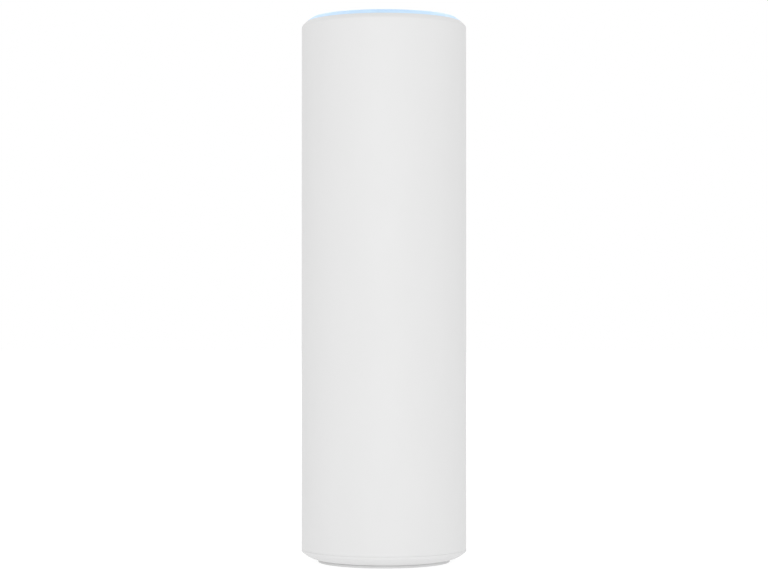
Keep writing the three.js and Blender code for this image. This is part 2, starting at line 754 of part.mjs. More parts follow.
// A pigtail from its plug on the board, up through the frame and the carrier, to its antenna.
function coaxPigtail(angle) {
  const [sx, sy] = [Math.sign(Math.cos(radians(angle))), Math.sign(Math.sin(radians(angle)))];
  const plugY = sy < 0 ? [FRONT_Y - 1.3, FRONT_Y] : [REAR_Y, REAR_Y + 1.3];
  const startY = (plugY[0] + plugY[1]) / 2;
  const end = ANTENNA_R - 0.4 - GAP;
  const [endX, endY] = polar(end, angle);
  const route = [
    [sx * COAX_X, startY, COAX_PLUG_Z],
    [sx * COAX_X, startY + sy * 0.2, COAX_PLUG_Z + 2],
    [sx * COAX_HOLE_X, sy * COAX_HOLE_Y, FRAME_TOP_Z[0] - 0.5],
    [sx * COAX_HOLE_X, sy * (COAX_HOLE_Y + 0.3), CARRIER_Z[1] + 0.5],
    [endX * 0.86, endY * 0.8, CARRIER_Z[1] + 3.2],
    [endX, endY, CARRIER_Z[1] + 4.5],
  ];
  const extrudePath = new THREE.CatmullRomCurve3(route.map((p) => new THREE.Vector3(...p)));
  const section = new THREE.Shape().absarc(0, 0, COAX_R, 0, 2 * Math.PI);
  const sweep = { extrudePath, steps: 18, curveSegments: 4, bevelEnabled: false };
  const cable = new THREE.ExtrudeGeometry(section, sweep);
  return joined(cable, crossBar(1.4, plugY, [sx * COAX_X, COAX_PLUG_Z]));
}

// ---- The whole node ----------------------------------------------------------------------------

const node = new THREE.Group();
node.name = "mesh_wifi_node";
node.add(
  standBase(),
  footRing(),
  outerShell(),
  lightRing(),
  topCap(),
  bottomCover(),
  coverSeal(),
  ...coverScrews(),
  ringTray(),
  ledBoard(),
  ...leds(),
  ledFlexCable(),
  flexConnector(),
  chassis(),
  mainBoard(),
  ...boardScrews(),
  ...shieldCans(),
  ...thermalPads(),
  powerTransformer(),
  ...capacitors(),
  heatSink(),
  ...heatSinkScrews(),
  ethernetJack(),
  jackInsert(),
  jackContacts(),
  resetKey(),
  resetPlunger(),
  resetSwitch(),
  antennaCarrier(),
  ...antennas(),
  ...numbered("coax_pigtail", ANTENNA_ANGLES, coaxPigtail, COAX_JACKET),
);

export default node;
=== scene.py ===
"""Mesh Wi-Fi node: a matte white tube with a lit blue ring round its top edge, on a low stand.

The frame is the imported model's: +Z up, the front towards -Y. Each piece is rebuilt finely where its CAD
node stands, and rides on that node's body. Shapes are drawn in millimetres, and finished() scales them
to metres. Materials, the floor, the lights and the camera are in metres.
"""
import math

import bmesh
import bpy
from mathutils import Matrix, Vector


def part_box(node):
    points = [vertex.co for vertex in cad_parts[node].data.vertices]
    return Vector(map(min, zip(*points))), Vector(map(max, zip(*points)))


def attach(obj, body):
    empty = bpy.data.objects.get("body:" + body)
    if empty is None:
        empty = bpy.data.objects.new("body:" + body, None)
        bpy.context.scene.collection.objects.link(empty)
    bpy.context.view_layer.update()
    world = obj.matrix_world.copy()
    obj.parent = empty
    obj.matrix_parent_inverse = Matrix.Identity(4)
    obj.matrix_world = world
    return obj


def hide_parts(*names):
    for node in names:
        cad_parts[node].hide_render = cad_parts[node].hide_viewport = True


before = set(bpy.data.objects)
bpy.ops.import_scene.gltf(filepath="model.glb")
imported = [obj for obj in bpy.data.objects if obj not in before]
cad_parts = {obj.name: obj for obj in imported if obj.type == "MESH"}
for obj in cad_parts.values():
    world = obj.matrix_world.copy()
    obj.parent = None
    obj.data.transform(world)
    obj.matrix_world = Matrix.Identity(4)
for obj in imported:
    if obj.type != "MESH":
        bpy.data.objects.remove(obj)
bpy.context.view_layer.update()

MM = 0.001
SEGMENTS = 256  # sides of a large round piece
SMALL_SEGMENTS = 48  # sides of a small one
WIDE_SEGMENTS = 128  # sides of a disc inside the casing
SHARP_TURN = 35  # an edge stays sharp where its faces turn by more than this, in degrees
BEVEL_TURN = 40  # and is rounded, where a piece has rounded edges, above this


# ---- Shapes ------------------------------------------------------------------------------------

def arc(start, end, turn, steps=12):
    """Points from start to end on the arc that turns left by that many degrees on its way."""
    half = math.radians(turn) / 2
    (px, py), (qx, qy) = start, end
    radius = math.hypot(qx - px, qy - py) / 2 / math.sin(half)
    heading = math.atan2(qy - py, qx - px) - half
    cx, cy = px - radius * math.sin(heading), py + radius * math.cos(heading)
    angles = [heading + 2 * half * i / steps for i in range(steps + 1)]
    return [(cx + radius * math.sin(a), cy - radius * math.cos(a)) for a in angles]


def softened(points, radius, steps=3, closed=True, least_turn=20):
    """The outline with every corner sharper than least_turn degrees rounded by an arc-like curve."""
    made = []
    count = len(points)
    for i, point in enumerate(points):
        here = Vector(point)
        if not closed and i in (0, count - 1):
            made.append(tuple(here))
            continue
        before, after = Vector(points[i - 1]) - here, Vector(points[(i + 1) % count]) - here
        turn = math.pi - before.angle(after)
        if turn < math.radians(least_turn):
            made.append(tuple(here))
            continue
        reach = min(radius * math.tan(turn / 2), before.length * 0.45, after.length * 0.45)
        a, b = here + before.normalized() * reach, here + after.normalized() * reach
        for k in range(steps + 1):
            t = k / steps
            made.append(tuple(a * (1 - t) ** 2 + here * 2 * t * (1 - t) + b * t**2))
    return made


def shaded(mesh):
    """Smooth shading, with the sharp edges kept."""
    mesh.shade_smooth()
    mesh.set_sharp_from_angle(angle=math.radians(SHARP_TURN))


def object_of(name, mesh):
    """An object of the mesh, with its doubled points joined and its faces turned outwards."""
    bm = bmesh.new()
    bm.from_mesh(mesh)
    bmesh.ops.remove_doubles(bm, verts=bm.verts, dist=1e-4)
    bmesh.ops.dissolve_degenerate(bm, edges=bm.edges, dist=1e-5)
    bmesh.ops.recalc_face_normals(bm, faces=bm.faces)
    bm.to_mesh(mesh)
    bm.free()
    shaded(mesh)
    made = bpy.data.objects.new(name, mesh)
    bpy.context.scene.collection.objects.link(made)
    return made


def turned(name, profile, segments=SEGMENTS, closed=True, centre=(0, 0)):
    """A profile of (radius, height) points turned about a vertical axis. An open one ends on it."""
    bm = bmesh.new()
    rings = []
    for r, z in profile:
        if r < 1e-6:
            rings.append([bm.verts.new((centre[0], centre[1], z))])
            continue
        angles = full_turn(segments)
        spots = [(centre[0] + r * math.cos(a), centre[1] + r * math.sin(a), z) for a in angles]
        rings.append([bm.verts.new(spot) for spot in spots])
    pairs = list(zip(rings, rings[1:]))
    if closed:
        pairs.append((rings[-1], rings[0]))
    for low, high in pairs:
        for k in range(segments):
            corners = [low[i % len(low)] for i in (k, k + 1)]
            corners += [high[i % len(high)] for i in (k + 1, k)]
            kept = list(dict.fromkeys(corners))
            if len(kept) > 2:
                bm.faces.new(kept)
    mesh = bpy.data.meshes.new(name)
    bm.to_mesh(mesh)
    bm.free()
    return object_of(name, mesh)


def rounded(bm, radius, steps=2):
    """Rounds the edges where the faces turn by more than BEVEL_TURN degrees."""
    limit = math.radians(BEVEL_TURN)
    geom = [e for e in bm.edges if len(e.link_faces) == 2 and e.calc_face_angle() > limit]
    bmesh.ops.bevel(
        bm, geom=geom, offset=radius, segments=steps, profile=0.5, affect="EDGES", clamp_overlap=True
    )


def made_from(name, bm):
    """An object from a bmesh, which is used up."""
    mesh = bpy.data.meshes.new(name)
    bm.to_mesh(mesh)
    bm.free()
    return object_of(name, mesh)


def block(name, low, high, bevel=0.0, steps=3):
    """A box between two corners with its edges rounded."""
    bm = bmesh.new()
    bmesh.ops.create_cube(bm, size=1)
    low, high = Vector(low), Vector(high)
    for v in bm.verts:
        v.co = Vector(low[i] if v.co[i] < 0 else high[i] for i in range(3))
    if bevel:
        rounded(bm, bevel, steps)
    return made_from(name, bm)


def bar(name, radius, low_z, high_z, centre=(0, 0), bevel=0.0, segments=SMALL_SEGMENTS):
    """A round bar along Z with its rims rounded."""
    outline = [(0, low_z), (radius, low_z), (radius, high_z), (0, high_z)]
    if bevel:
        outline = softened(outline, bevel, closed=False)
    return turned(name, outline, segments, closed=False, centre=centre)


def plate(name, outline, heights, bevel=0.0):
    """An outline of (x, y) points raised between two heights, with its edges rounded."""
    bm = bmesh.new()
    low, high = [[bm.verts.new((x, y, z)) for x, y in outline] for z in heights]
    bm.faces.new(low)
    bm.faces.new(high)
    for i in range(len(outline)):
        j = (i + 1) % len(outline)
        bm.faces.new((low[i], low[j], high[j], high[i]))
    if bevel:
        bmesh.ops.recalc_face_normals(bm, faces=bm.faces)
        rounded(bm, bevel)
    return made_from(name, bm)


def full_turn(count):
    """Evenly spaced angles once round, in radians."""
    return [2 * math.pi * i / count for i in range(count)]


def polar(radius, degrees):
    return radius * math.cos(math.radians(degrees)), radius * math.sin(math.radians(degrees))


def sector(name, radii, degrees, heights, bevel=0.0, steps=10):
    """Part of a ring, between two angles."""
    angles = [degrees[0] + (degrees[1] - degrees[0]) * i / steps for i in range(steps + 1)]
    outline = [polar(radii[1], a) for a in angles] + [polar(radii[0], a) for a in reversed(angles)]
    return plate(name, outline, heights, bevel)


def smooth(points, steps=6):
    """Points on a smooth curve through the given ones."""
    knots = [Vector(p) for p in (points[0], *points, points[-1])]
    made = []
    for a, b, c, d in zip(knots, knots[1:], knots[2:], knots[3:]):
        for t in (i / steps for i in range(steps)):
            bend = (c - a) * t + (2 * a - 5 * b + 4 * c - d) * t**2 + (3 * b - a - 3 * c + d) * t**3
            made.append(b + bend / 2)
    return [*made, knots[-1]]


def wire(name, points, radius):
    """A round wire with closed ends, on a smooth curve through the points."""
    line = bpy.data.curves.new(name, "CURVE")
    line.dimensions = "3D"
    line.bevel_depth = radius
    line.bevel_resolution = 3
    line.use_fill_caps = True
    route = smooth(points)
    spline = line.splines.new("POLY")
    spline.points.add(len(route) - 1)
    for knot, point in zip(spline.points, route):
        knot.co = (*point, 1)
    curve = bpy.data.objects.new(name, line)
    bpy.context.scene.collection.objects.link(curve)
    bpy.context.view_layer.update()
    mesh = bpy.data.meshes.new_from_object(curve.evaluated_get(bpy.context.evaluated_depsgraph_get()))
    bpy.data.objects.remove(curve)
    return object_of(name, mesh)


def placed(piece, *steps):
    """The piece moved by the matrices, in order, in its mesh."""
    for step in steps:
        piece.data.transform(step)
    return piece


def merged(name, parts):
    """Several objects as one, without joining their surfaces. The parts are used up."""
    bm = bmesh.new()
    for part in parts:
        bm.from_mesh(part.data)
        bpy.data.objects.remove(part)
    return made_from(name, bm)


def carved(target, tools, operation="DIFFERENCE"):
    """The target with the tools cut away from it, or joined to it. The tools are used up."""
    for tool in tools:
        step = target.modifiers.new("step", "BOOLEAN")
        step.operation = operation
        step.solver = "MANIFOLD"
        step.object = tool
    bpy.context.view_layer.update()
    evaluated = target.evaluated_get(bpy.context.evaluated_depsgraph_get())
    mesh = bpy.data.meshes.new_from_object(evaluated)
    target.modifiers.clear()
    target.data = mesh
    for tool in tools:
        bpy.data.objects.remove(tool)
    shaded(mesh)
    return target


# ---- Materials ---------------------------------------------------------------------------------

class Nodes:
    """A short way to write a material's nodes."""

    def __init__(self, name):
        self.material = bpy.data.materials.new(name)
        self.material.use_nodes = True
        self.tree = self.material.node_tree
        self.shader = self.tree.nodes["Principled BSDF"]
        self.where = self.add("ShaderNodeTexCoord").outputs["Object"]

    def add(self, kind, **settings):
        node = self.tree.nodes.new(kind)
        for key, value in settings.items():
            if hasattr(node, key):
                setattr(node, key, value)
            else:
                node.inputs[key.replace("_", " ")].default_value = value
        return node

    def link(self, source, target):
        self.tree.links.new(source, target)

    def noise(self, size, detail=2.0, stretch=(1, 1, 1), roughness=0.5):
        """Noise whose features are about that many metres across, stretched along the axes."""
        place = self.add("ShaderNodeMapping")
        place.inputs["Scale"].default_value = [1 / (size * s) for s in stretch]
        self.link(self.where, place.inputs["Vector"])
        grain = self.add("ShaderNodeTexNoise", Scale=1.0, Detail=detail, Roughness=roughness)
        self.link(place.outputs["Vector"], grain.inputs["Vector"])
        return grain.outputs["Fac"]

    def remap(self, value, low, high, from_low=0.3, from_high=0.7):
        limits = {"From_Min": from_low, "From_Max": from_high, "To_Min": low, "To_Max": high}
        ramp = self.add("ShaderNodeMapRange", **limits)
        self.link(value, ramp.inputs["Value"])
        return ramp.outputs["Result"]

    def mixed(self, factor, a, b):
        mix = self.add("ShaderNodeMix", data_type="RGBA")
        for socket, value in ((mix.inputs[6], a), (mix.inputs[7], b)):
            if isinstance(value, bpy.types.NodeSocket):
                self.link(value, socket)
            else:
                socket.default_value = (*value, 1)
        self.link(factor, mix.inputs[0])
        return mix.outputs[2]

    def bumped(self, *layers):
        """Bumps of (height output, depth in metres), laid over each other."""
        normal = None
        for height, depth in layers:
            bump = self.add("ShaderNodeBump", Strength=1.0, Distance=depth)
            self.link(height, bump.inputs["Height"])
            if normal:
                self.link(normal, bump.inputs["Normal"])
            normal = bump.outputs["Normal"]
        self.link(normal, self.shader.inputs["Normal"])

    def set(self, **values):
        for key, value in values.items():
            self.shader.inputs[key.replace("_", " ")].default_value = value


def moulded(name, color, roughness=0.5, vary=0.015, grain=0.25 * MM, depth=0.004 * MM, sheen=0.35):
    """Moulded plastic or rubber: a fine spark-eroded grain, faint flow marks and uneven gloss."""
    n = Nodes(name)
    flow = n.noise(18 * MM, detail=3, stretch=(1, 1, 2.5))
    light = [c * (1 + vary) for c in color]
    dark = [c * (1 - vary) for c in color]
    n.link(n.mixed(n.remap(flow, 0, 1), dark, light), n.shader.inputs["Base Color"])
    patches = n.noise(6 * MM, detail=4)
    n.link(n.remap(patches, roughness - 0.05, roughness + 0.05), n.shader.inputs["Roughness"])
    n.bumped((n.noise(grain, detail=2), depth), (n.noise(grain * 4, detail=1), depth * 0.7))
    n.set(Specular_IOR_Level=sheen)
    return n.material


def lit_guide(name, low_z, high_z):
    """Frosted light guide that glows blue, slightly less towards its top edge."""
    n = Nodes(name)
    split = n.add("ShaderNodeSeparateXYZ")
    n.link(n.where, split.inputs["Vector"])
    rise = n.remap(split.outputs["Z"], 0, 1, low_z, high_z)
    tint = n.mixed(rise, (0.32, 0.565, 0.978), (0.27, 0.525, 0.96))
    cloud = n.remap(n.noise(5 * MM, detail=2), 0.94, 1.06)
    shade = n.add("ShaderNodeVectorMath", operation="SCALE")
    n.link(tint, shade.inputs[0])
    n.link(cloud, shade.inputs["Scale"])
    n.link(shade.outputs["Vector"], n.shader.inputs["Emission Color"])
    n.link(n.mixed(rise, (0.375, 0.457, 0.473), (0.33, 0.42, 0.45)), n.shader.inputs["Base Color"])
    n.link(n.remap(n.noise(3 * MM, detail=3), 0.36, 0.46), n.shader.inputs["Roughness"])
    n.bumped((n.noise(0.2 * MM, detail=2), 0.003 * MM))
    n.set(Emission_Strength=0.45, Specular_IOR_Level=0.4)
    return n.material


def metal(name, color, roughness, brushed=(1, 1, 12), depth=0.004 * MM):
    """Bare or plated metal with fine drawing marks and uneven tarnish."""
    n = Nodes(name)
    marks = n.noise(0.25 * MM, detail=3, stretch=brushed)
    stain = n.noise(9 * MM, detail=4)
    dull = [c * 0.86 for c in color]
    n.link(n.mixed(n.remap(stain, 0, 1, 0.35, 0.65), dull, color), n.shader.inputs["Base Color"])
    n.link(n.remap(marks, roughness - 0.06, roughness + 0.08), n.shader.inputs["Roughness"])
    n.bumped((marks, depth))
    n.set(Metallic=1.0)
    return n.material


def solder_mask(name):
    """Green solder mask. The copper tracks under it show as a raised, paler green."""
    n = Nodes(name)
    tracks = n.add("ShaderNodeTexBrick", offset=0.37, Scale=1.0, Mortar_Size=0.16 * MM)
    tracks.inputs["Brick Width"].default_value = 9 * MM
    tracks.inputs["Row Height"].default_value = 1.3 * MM
    tracks.inputs["Color1"].default_value = (0, 0, 0, 1)
    tracks.inputs["Color2"].default_value = (0.12, 0.12, 0.12, 1)
    tracks.inputs["Mortar"].default_value = (1, 1, 1, 1)
    turn = n.add("ShaderNodeMapping")
    turn.inputs["Rotation"].default_value = (math.pi / 2, 0, math.pi / 2)
    n.link(n.where, turn.inputs["Vector"])
    n.link(turn.outputs["Vector"], tracks.inputs["Vector"])
    mask, track = (0.010, 0.085, 0.045), (0.022, 0.17, 0.085)
    n.link(n.mixed(tracks.outputs["Color"], mask, track), n.shader.inputs["Base Color"])
    n.link(n.remap(n.noise(4 * MM, detail=3), 0.28, 0.42), n.shader.inputs["Roughness"])
    n.bumped((tracks.outputs["Color"], 0.02 * MM), (n.noise(0.5 * MM), 0.004 * MM))
    n.set(Coat_Weight=0.3, Coat_Roughness=0.2)
    return n.material


def floor_white():
    """Pale studio floor."""
    n = Nodes("floor_white")
    dark, light = (0.245, 0.245, 0.245), (0.255, 0.255, 0.255)
    n.link(n.mixed(n.noise(0.4, detail=2), dark, light), n.shader.inputs["Base Color"])
    n.set(Roughness=0.9, Specular_IOR_Level=0.0)
    n.set(Emission_Color=(1, 1, 1, 1), Emission_Strength=0.825)
    return n.material


SHELL_WHITE = moulded("shell_white", (0.668, 0.668, 0.668), roughness=0.55, vary=0.006)
COVER_WHITE = moulded(
    "cover_white", (0.668, 0.668, 0.666), roughness=0.6, vary=0.008, grain=0.4 * MM, depth=0.006 * MM
)
GREY_RUBBER = moulded(
    "grey_rubber", (0.60, 0.60, 0.60), roughness=0.8, vary=0.04, grain=0.5 * MM, depth=0.01 * MM
)
SEAL_RUBBER = moulded("seal_rubber", (0.022, 0.023, 0.025), roughness=0.75, vary=0.15)
INNER_WHITE = moulded("inner_white", (0.82, 0.82, 0.80), roughness=0.45)
FRAME_GREY = moulded("frame_grey", (0.045, 0.048, 0.054), roughness=0.6, vary=0.08, grain=0.5 * MM)
DARK_PLASTIC = moulded("dark_plastic", (0.012, 0.012, 0.014), roughness=0.42, vary=0.12)
FERRITE = moulded(
    "ferrite", (0.035, 0.037, 0.04), roughness=0.7, vary=0.2, grain=0.6 * MM, depth=0.015 * MM
)
PAD_SILICONE = moulded("pad_silicone", (0.27, 0.37, 0.48), roughness=0.85, vary=0.08)
COAX_JACKET = moulded("coax_jacket", (0.07, 0.075, 0.08), roughness=0.45, vary=0.08)
FLEX_AMBER = moulded("flex_amber", (0.46, 0.18, 0.035), roughness=0.3, vary=0.1)
PHOSPHOR = moulded("phosphor", (0.86, 0.70, 0.16), roughness=0.3, vary=0.06)
WINDING_TAPE = moulded("winding_tape", (0.72, 0.50, 0.06), roughness=0.3, vary=0.06, grain=1.2 * MM)
TINNED_STEEL = metal("tinned_steel", (0.62, 0.63, 0.64), 0.28, brushed=(1, 1, 10))
SCREW_STEEL = metal("screw_steel", (0.46, 0.47, 0.49), 0.32, brushed=(1, 1, 1))
SINK_ALUMINIUM = metal("sink_aluminium", (0.72, 0.73, 0.75), 0.36, brushed=(1, 1, 30), depth=0.008 * MM)
GOLD_PLATE = metal("gold_plate", (0.83, 0.60, 0.25), 0.24, brushed=(1, 1, 4))
SOLDER_MASK = solder_mask("solder_mask")


# ---- Pieces ------------------------------------------------------------------------------------

def finished(piece, material, slot, *nodes, body="housing"):
    """Scales a piece to metres, gives it its finish, and puts it on its body in place of CAD nodes."""
    piece.data.transform(Matrix.Scale(MM, 4))
    piece.data.materials.clear()
    piece.data.materials.append(material)
    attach(piece, body)
    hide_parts(*nodes)


def span(node):
    """The lowest and highest corners of a CAD node, in millimetres."""
    low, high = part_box(node)
    return Vector(low) / MM, Vector(high) / MM


def middle(node):
    low, high = span(node)
    return (low + high) / 2


def numbered(name, count):
    return [f"{name}_{i + 1}" for i in range(count)]


def largest(node):
    """The largest radius, lowest height and highest height of a CAD node."""
    low, high = span(node)
    return high.x, low.z, high.z


TUBE_R, TUBE_LOW, _ = largest("outer_shell")
BAND_R, GUIDE_LOW, TOP_Z = largest("light_ring")
STAND_R, UNDERSIDE_Z, COLLAR_TOP = largest("stand_base")
FOOT_R, FLOOR_Z, _ = largest("foot_ring")
BOARD_LOW, BOARD_HIGH = span("main_board")
JACK_LOW, JACK_HIGH = span("ethernet_jack")
COVER_SCREWS = numbered("cover_screw", 3)
BOARD_SCREWS = numbered("board_screw", 4)
SINK_SCREWS = numbered("heat_sink_screw", 4)
LEDS = numbered("led", 8)

SEAM_Z = TUBE_LOW - 0.12  # middle of the hairline between the tube and the stand
HAIRLINE = 0.02  # air in a joint between two pieces that meet
GAP = 0.3  # usual clearance inside
OVERLAP = 0.1  # how far joined shapes run into each other
EDGE = 0.1  # usual broken edge of a moulding
INNER_R = TUBE_R - 2.2
SHOULDER_Z = TOP_Z - 4.55  # where the side starts to round over
CHAMFER = (TUBE_R - 0.47, TOP_Z - 3.42)  # end of that fillet, start of the crown
RING_EDGE = (TUBE_R - 4.6, TOP_Z)  # inner top edge of the light ring
LIP_R = BAND_R + 0.2
LUGS = (30, 150, 270)  # middles of the stand's lugs, in degrees from +X
LUG_HALF_SPAN = 8
TWIST = 25  # turn from locked to free, in degrees
CHANNEL = (8.5, 11.4)  # heights of the channel that the lugs turn in
PEGS = [(30, angle) for angle in (0, 90, 180, 270)]  # antenna carrier's pegs, as radius and degrees
CARRIER_TOP = 210.7
FRAME_R = 34.6
ANTENNA_R = 29
ANTENNA_ANGLES = (45, 135, 225, 315)
COAX_HOLE = (14, 9.5)  # where a pigtail passes the frame's top, from the middle

TO_FRONT = Matrix.Rotation(math.pi / 2, 4, "X")  # turns +Z to -Y, and an outline's second axis to +Z
TO_BACK = Matrix.Rotation(-math.pi / 2, 4, "X")  # turns +Z to +Y
TO_SIDE = Matrix(((0, 0, 1, 0), (1, 0, 0, 0), (0, 1, 0, 0), (0, 0, 0, 1)))  # X to Y, Y to Z, Z to X


# Casing

def crown(from_r, to_r):
    """The crown's points between two radii."""
    whole = arc(CHAMFER, RING_EDGE, 10.8, steps=48)
    inner = [p for p in whole if to_r < p[0] < from_r]

    def height(r):
        for (r0, z0), (r1, z1) in zip(whole, whole[1:]):
            if r1 <= r <= r0 + 1e-6:
                return z0 + (z1 - z0) * (r0 - r) / (r0 - r1)
        return CHAMFER[1]

    return [(from_r, height(from_r)), *inner, (to_r, height(to_r))]


def make_shell():
    bore_r = LIP_R - 0.35
    ledge_z = TOP_Z - 11.15
    low = SEAM_Z + HAIRLINE / 2
    groove_r = INNER_R + 0.8
    outside = [*arc((TUBE_R, SHOULDER_Z), CHAMFER, 45, 16), *crown(CHAMFER[0], LIP_R - HAIRLINE / 2)[1:]]
    lip_z = outside[-1][1]
    foot = [(INNER_R, low + 0.4), (INNER_R + 0.4, low)]
    foot += arc((TUBE_R - EDGE, low), (TUBE_R, low + EDGE), 90, 6)
    inside = [
        (LIP_R - 0.12, lip_z - 0.25),
        (bore_r, lip_z - 0.7),
        (bore_r, ledge_z),
        (bore_r - 1.8, ledge_z),
        (bore_r - 1.8, ledge_z - 1.6),
        (INNER_R, ledge_z - 3.1),
        (INNER_R, 21),
        (groove_r, 20.4),
        (groove_r, 18.9),
        (INNER_R, 18.6),
    ]
    shell = turned("shell", [*foot, *outside, *inside])
    finished(shell, SHELL_WHITE, "white_shell", "outer_shell")


def make_light_ring():
    band = crown(LIP_R + HAIRLINE / 2 - 0.06, RING_EDGE[0] + 0.12)
    top_r = RING_EDGE[0]
    stem = (31.8, 34.2)
    stem_foot = [(stem[0], GUIDE_LOW), (stem[1], GUIDE_LOW), (stem[1], GUIDE_LOW + 3.3)]
    outline = [
        *softened(stem_foot, 0.3, closed=False),
        (band[0][0] - 0.3, band[0][1] - 0.35),
        *band,
        *arc((top_r, TOP_Z - 0.012), (top_r - 0.42, TOP_Z - 0.4), 80, 8),
        (top_r - 0.45, TOP_Z - 2.4),
        (stem[0], TOP_Z - 3.4),
    ]
    finish = lit_guide("guide_blue", band[0][1] * MM, TOP_Z * MM)
    finished(turned("light_guide", outline), finish, "light_guide", "light_ring")


def make_cap():
    rim_r = RING_EDGE[0] - 0.5
    rim_z = TOP_Z - 0.45
    flat_r = rim_r - 1.2
    dish = [(flat_r * (1 - k / 10), rim_z - 0.8 * math.sin(math.pi / 20 * k)) for k in range(10)]
    outline = [
        (0, TOP_Z - 2.7),
        (30.2, TOP_Z - 2.7),
        (30.2, TOP_Z - 7.1),
        (31.4, TOP_Z - 7.1),
        (31.4, TOP_Z - 2.5),
        (rim_r, TOP_Z - 1.7),
        *arc((rim_r, rim_z - 0.5), (rim_r - 0.5, rim_z), 90, 8),
        *dish,
        (0, rim_z - 0.8),
    ]
    finished(turned("cap", outline, closed=False), SHELL_WHITE, "white_shell", "top_cap")


def jack_hole(heights):
    """A cutter for the Ethernet jack, with clearance round it."""
    low = (JACK_LOW.x - GAP, JACK_LOW.y - GAP, heights[0])
    high = (JACK_HIGH.x + GAP, JACK_HIGH.y + GAP, heights[1])
    return block("jack_hole", low, high)


def make_cover():
    low, high = span("bottom_cover")
    skirt_r = INNER_R - GAP
    ceiling = (46, high.z)
    ledge_r, channel_r, recess_r = 31.6, 33.6, 26
    wall = 2
    profile = [
        (0, ceiling[0]),
        (recess_r, ceiling[0]),
        (recess_r, CHANNEL[1]),
        (channel_r, CHANNEL[1]),
        (channel_r, CHANNEL[0]),
        (ledge_r, CHANNEL[0]),
        (ledge_r, low.z),
        (skirt_r, low.z),
        (skirt_r, 15.6),
        (skirt_r - 1.7, 15.6),
        (skirt_r - 1.7, 17.8),
        (skirt_r, 17.8),
        (skirt_r, 19),
        (high.x, 19.4),
        (high.x, 19.8),
        (skirt_r, 20.4),
        (skirt_r - 3.5, 20.4),
        (skirt_r - 3.5, CHANNEL[1] + wall),
        (recess_r + wall, CHANNEL[1] + wall),
        (recess_r + wall, ceiling[1]),
        (0, ceiling[1]),
    ]
    cover = turned("cover", softened(profile, 0.3, closed=False), closed=False)
    stops = []
    stop_radii = (ledge_r, channel_r + OVERLAP)
    stop_heights = (CHANNEL[0] - OVERLAP, CHANNEL[1] + OVERLAP)
    rib = 3  # degrees that a stop takes up
    entries = []
    entry_radii = (ledge_r - 1, channel_r - 0.02)
    entry_heights = (low.z - 1, CHANNEL[0] + 0.05)
    for lug in LUGS:
        entry = (lug - TWIST - LUG_HALF_SPAN - 1, lug - TWIST + LUG_HALF_SPAN + 1)
        entries.append(sector("entry", entry_radii, entry, entry_heights))
        for start in (lug + LUG_HALF_SPAN + 0.8, entry[0] - rib):
            stops.append(sector("stop", stop_radii, (start, start + rib), stop_heights))
    through = (ceiling[0] - 1, ceiling[1] + 1)
    spots = [middle(node) for node in ("reset_key", *COVER_SCREWS)]
    holes = [bar("hole", 1.8, *through, (at.x, at.y)) for at in spots]
    carved(cover, [merged("stops", stops)], "UNION")
    carved(cover, [merged("entries", entries), merged("holes", [jack_hole(through), *holes])])
    finished(cover, COVER_WHITE, "white_shell", "bottom_cover")


def make_seal():
    at = middle("cover_seal")
    low, high = span("cover_seal")
    cord_r = (high.z - low.z) / 2 * 1.1
    middle_r = high.x - cord_r
    section = [(middle_r + cord_r * math.cos(a), at.z + cord_r * math.sin(a)) for a in full_turn(16)]
    finished(turned("seal", section), SEAL_RUBBER, "seal_rubber", "cover_seal")


# Stand

def cable_slot(name, top_z):
    return block(name, (-4, 10, FLOOR_Z - 1), (4, STAND_R + 5, top_z))


def make_stand():
    plate_z = UNDERSIDE_Z + 0.2
    high = SEAM_Z - HAIRLINE / 2
    start = (FOOT_R + 0.25, UNDERSIDE_Z)
    corner = (STAND_R, UNDERSIDE_Z + 3.6)
    underside = arc(start, corner, 37, 20)
    edge = softened([underside[-2], corner, (STAND_R, corner[1] + 0.5)], 0.12, closed=False)[1:-1]
    rim = arc((STAND_R, high - EDGE), (STAND_R - EDGE, high), 90, 6)
    inside = [
        (STAND_R - 3, high),
        (STAND_R - 3, 4.4),
        (31.2, 4.4),
        (31.2, COLLAR_TOP),
        (29.6, COLLAR_TOP),
        (29.6, 4),
        (19, 4),
        (19, plate_z),
        (26.8, plate_z),
        (26.8, 2.4),
        (29.2, 2.4),
        (29.2, plate_z),
        (start[0], plate_z),
    ]
    inside = softened([rim[-1], *inside, start], 0.25, closed=False)[1:-1]
    stand = turned("stand", [*underside[:-2], *edge, *rim, *inside])
    lug_z = (8.8, COLLAR_TOP - 0.02)
    lugs = [
        sector("lug", (30.7, 33.2), (m - LUG_HALF_SPAN, m + LUG_HALF_SPAN), lug_z, bevel=0.2)
        for m in LUGS
    ]
    carved(stand, [merged("lugs", lugs)], "UNION")
    carved(stand, [cable_slot("slot", COLLAR_TOP + 1)])
    finished(stand, SHELL_WHITE, "white_shell", "stand_base", body="stand")


def make_foot():
    top = 1.25
    outline = [
        (25.4, FLOOR_Z),
        (FOOT_R, FLOOR_Z),
        (FOOT_R, top),
        (29, top),
        (29, 2.2),
        (27, 2.2),
        (27, top),
        (25.4, top),
    ]
    foot = turned("foot", softened(outline, 0.2))
    carved(foot, [cable_slot("slot", 5)])
    finished(foot, GREY_RUBBER, "grey_rubber", "foot_ring", body="stand")


# Fasteners

